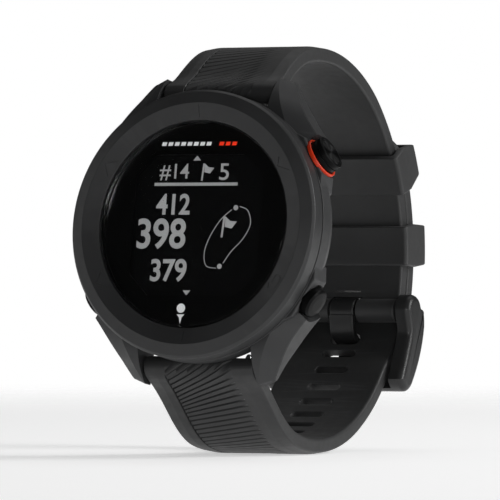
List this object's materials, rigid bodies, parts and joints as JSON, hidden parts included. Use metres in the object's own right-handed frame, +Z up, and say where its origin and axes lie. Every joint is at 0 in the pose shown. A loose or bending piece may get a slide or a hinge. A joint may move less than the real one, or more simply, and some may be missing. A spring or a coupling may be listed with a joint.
{
  "type": "golf gps watch",
  "caption": "Round GPS sports watch on a buckled ribbed silicone strap, with side push buttons, pin buckle, strap keepers and quick-release spring bars.",
  "frame": {"origin": "middle of the bounding box footprint, on the surface that the strap stands on", "axes": "+X to the three o'clock side, +Y from the dial towards the buckle, +Z up; the dial faces -Y and leans back 9 degrees"},
  "size_m": [0.044, 0.0678, 0.0666],
  "materials": {
    "bezel": "moulded, inner ring turned to a soft sheen",
    "case": "fine spark-eroded matte",
    "silicone": "matte silicone with a soft bloom",
    "buckle": "smooth moulded, slightly glossy",
    "button_cap": "fine concentric knurling on the upper right cap",
    "accent": "red-orange moulded ring",
    "lens": "polished, black printed behind",
    "display": "black transflective panel with light grey figures",
    "seal": "matte",
    "steel": "fine turned",
    "contact": "gold plated",
    "board": "solder-masked board",
    "cell": "foil pouch",
    "chassis": "glass-filled moulding"
  },
  "bodies": {
    "case": {"case_body": "case", "bezel": "bezel", "lens_glass": "lens", "lens_gasket": "seal", "lens_mask": "display", "display_panel": "display", "display_chassis": "chassis", "main_board": "board", "battery_cell": "cell", "gps_antenna": "contact", "back_cover": "case", "back_gasket": "seal", "back_screw_1": "steel", "back_screw_2": "steel", "back_screw_3": "steel", "back_screw_4": "steel", "charge_contact_1": "contact", "charge_contact_2": "contact", "charge_contact_3": "contact", "charge_contact_4": "contact", "button_seal_ok": "seal", "side_switch_ok": "steel", "button_seal_up": "seal", "side_switch_up": "steel", "button_seal_down": "seal", "side_switch_down": "steel", "button_seal_back": "seal", "side_switch_back": "steel", "ok_accent_ring": "accent", "spring_bar_upper": "steel", "spring_bar_lower": "steel"},
    "button_ok": {"button_ok": "button_cap"},
    "button_up": {"button_up": "button_cap"},
    "button_down": {"button_down": "button_cap"},
    "button_back": {"button_back": "button_cap"},
    "release_pin_upper": {"release_pin_upper": "steel"},
    "release_pin_lower": {"release_pin_lower": "steel"},
    "strap_upper": {"strap_upper": "silicone"},
    "strap_buckle_end": {"strap_buckle_end": "silicone", "buckle_pin": "steel"},
    "strap_lower": {"strap_lower": "silicone"},
    "strap_tail": {"strap_tail": "silicone"},
    "buckle_frame": {"buckle_frame": "buckle"},
    "buckle_tongue": {"buckle_tongue": "buckle"},
    "keeper_lower": {"keeper_lower": "silicone"},
    "keeper_upper": {"keeper_upper": "silicone"}
  },
  "joints": [
    {"name": "press_ok", "type": "slide", "parent": "case", "child": "button_ok", "axis": [-0.8572, -0.0806, -0.5087], "range_m": [0, 0.0006], "stiffness_N_per_m": 1500},
    {"name": "press_up", "type": "slide", "parent": "case", "child": "button_up", "axis": [0.8572, -0.0806, -0.5087], "range_m": [0, 0.0006], "stiffness_N_per_m": 1500},
    {"name": "press_down", "type": "slide", "parent": "case", "child": "button_down", "axis": [0.8572, 0.0806, 0.5087], "range_m": [0, 0.0006], "stiffness_N_per_m": 1500},
    {"name": "press_back", "type": "slide", "parent": "case", "child": "button_back", "axis": [-0.8572, 0.0806, 0.5087], "range_m": [0, 0.0006], "stiffness_N_per_m": 1500},
    {"name": "release_upper", "type": "slide", "parent": "case", "child": "release_pin_upper", "axis": [-1, 0, 0], "range_m": [0, 0.0015], "stiffness_N_per_m": 700},
    {"name": "release_lower", "type": "slide", "parent": "case", "child": "release_pin_lower", "axis": [-1, 0, 0], "range_m": [0, 0.0015], "stiffness_N_per_m": 700},
    {"name": "strap_upper_pivot", "type": "hinge", "parent": "case", "child": "strap_upper", "pos_m": [-0.00003, -0.01925, 0.05845], "axis": [1, 0, 0], "range_deg": [-6, 6], "stiffness_Nm_per_rad": 0.6},
    {"name": "strap_upper_bend", "type": "hinge", "parent": "strap_upper", "child": "strap_buckle_end", "pos_m": [-0.00003, 0.02291, 0.05177], "axis": [1, 0, 0], "range_deg": [-6, 6]},
    {"name": "strap_lower_pivot", "type": "hinge", "parent": "case", "child": "strap_lower", "pos_m": [-0.00003, -0.02623, 0.0144], "axis": [1, 0, 0], "range_deg": [-6, 6]},
    {"name": "strap_lower_bend", "type": "hinge", "parent": "strap_lower", "child": "strap_tail", "pos_m": [-0.00003, 0.01594, 0.00772], "axis": [1, 0, 0], "range_deg": [-6, 6]},
    {"name": "buckle_frame_swing", "type": "hinge", "parent": "strap_buckle_end", "child": "buckle_frame", "pos_m": [-0.00003, 0.02621, 0.02319], "axis": [1, 0, 0], "range_deg": [0, 2.5]},
    {"name": "buckle_tongue_lift", "type": "hinge", "parent": "buckle_frame", "child": "buckle_tongue", "pos_m": [-0.00003, 0.02621, 0.02319], "axis": [1, 0, 0], "range_deg": [0, 1.5]},
    {"name": "keeper_lower_slide", "type": "hinge", "parent": "strap_buckle_end", "child": "keeper_lower", "pos_m": [-0.00003, -0.00299, 0.0333], "axis": [1, 0, 0], "range_deg": [-2, 5]},
    {"name": "keeper_upper_slide", "type": "hinge", "parent": "strap_buckle_end", "child": "keeper_upper", "pos_m": [-0.00003, -0.00299, 0.0333], "axis": [1, 0, 0], "range_deg": [-5, 1]}
  ],
  "couplings": [
    {"joint": "strap_upper_bend", "follows": "strap_upper_pivot", "ratio": -1},
    {"joint": "strap_lower_pivot", "follows": "strap_upper_pivot", "ratio": 1},
    {"joint": "strap_lower_bend", "follows": "strap_upper_pivot", "ratio": -1}
  ]
}
